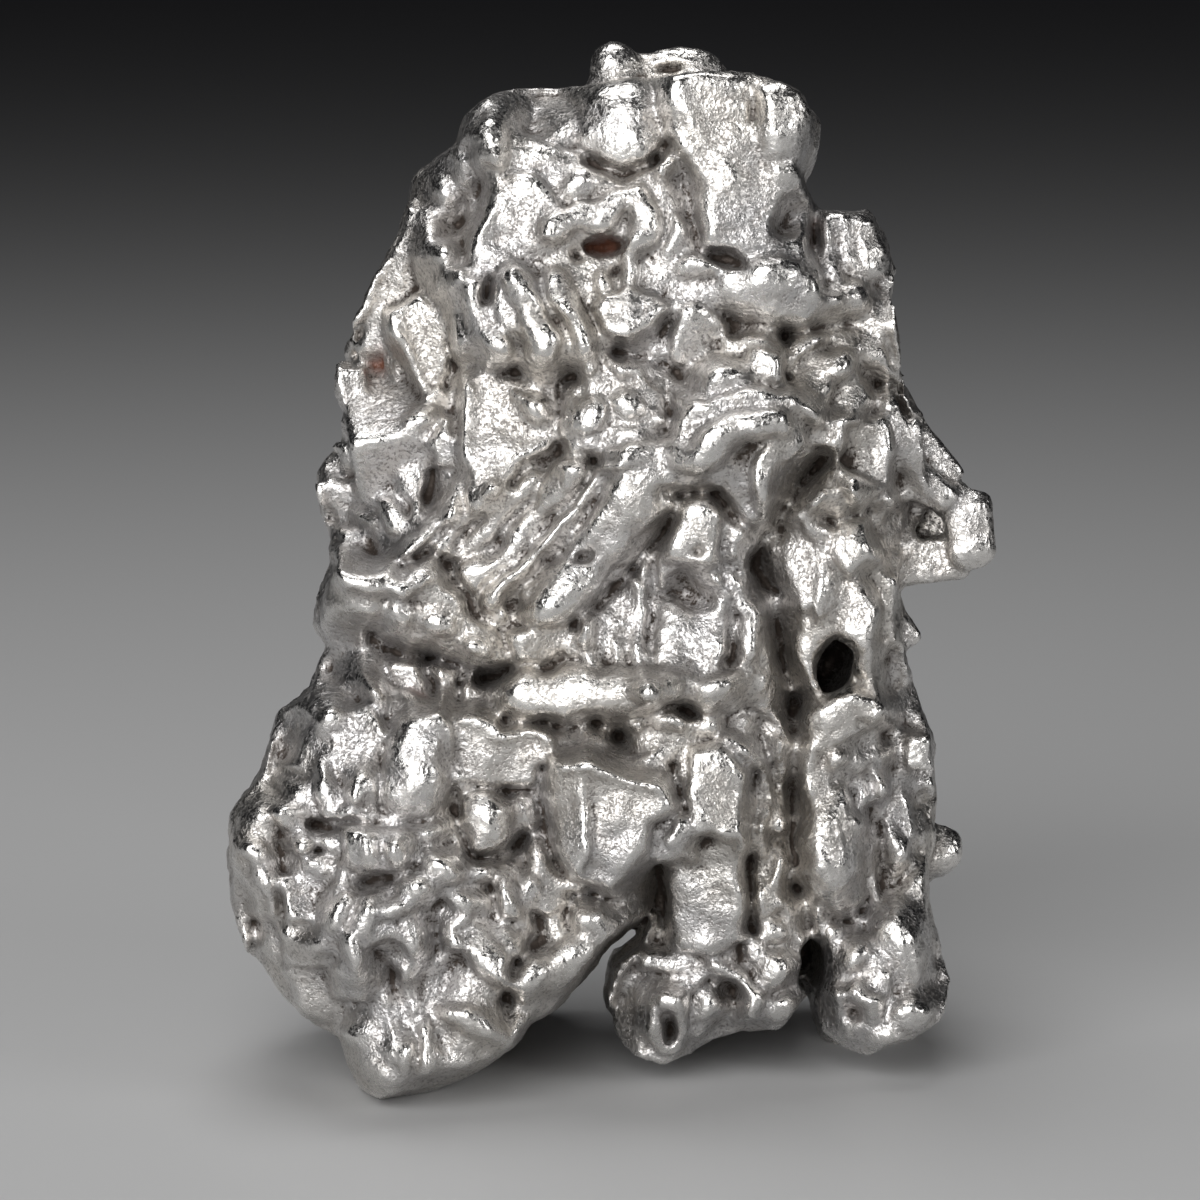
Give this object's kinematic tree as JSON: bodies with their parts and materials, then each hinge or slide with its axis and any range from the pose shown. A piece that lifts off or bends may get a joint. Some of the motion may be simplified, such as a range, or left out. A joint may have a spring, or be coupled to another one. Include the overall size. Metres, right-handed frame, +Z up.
{
  "type": "iron meteorite",
  "caption": "Small iron meteorite, a rough silvery lump of fused coarse metal crystals with ledges, clefts, pits and a jutting arm, standing on its lobed lower end.",
  "frame": {"origin": "middle of the footprint, at the height of the worn feet it stands on", "axes": "+Z up the height, -Y out of the worked face, +X toward the side with the arm"},
  "size_m": [0.0316, 0.0254, 0.0423],
  "materials": {
    "iron": "bright cleaned nickel-iron, hammered and pitted, with dark oxide in the clefts and a little rust"
  },
  "bodies": {
    "root": {"meteorite": "iron"}
  },
  "joints": []
}
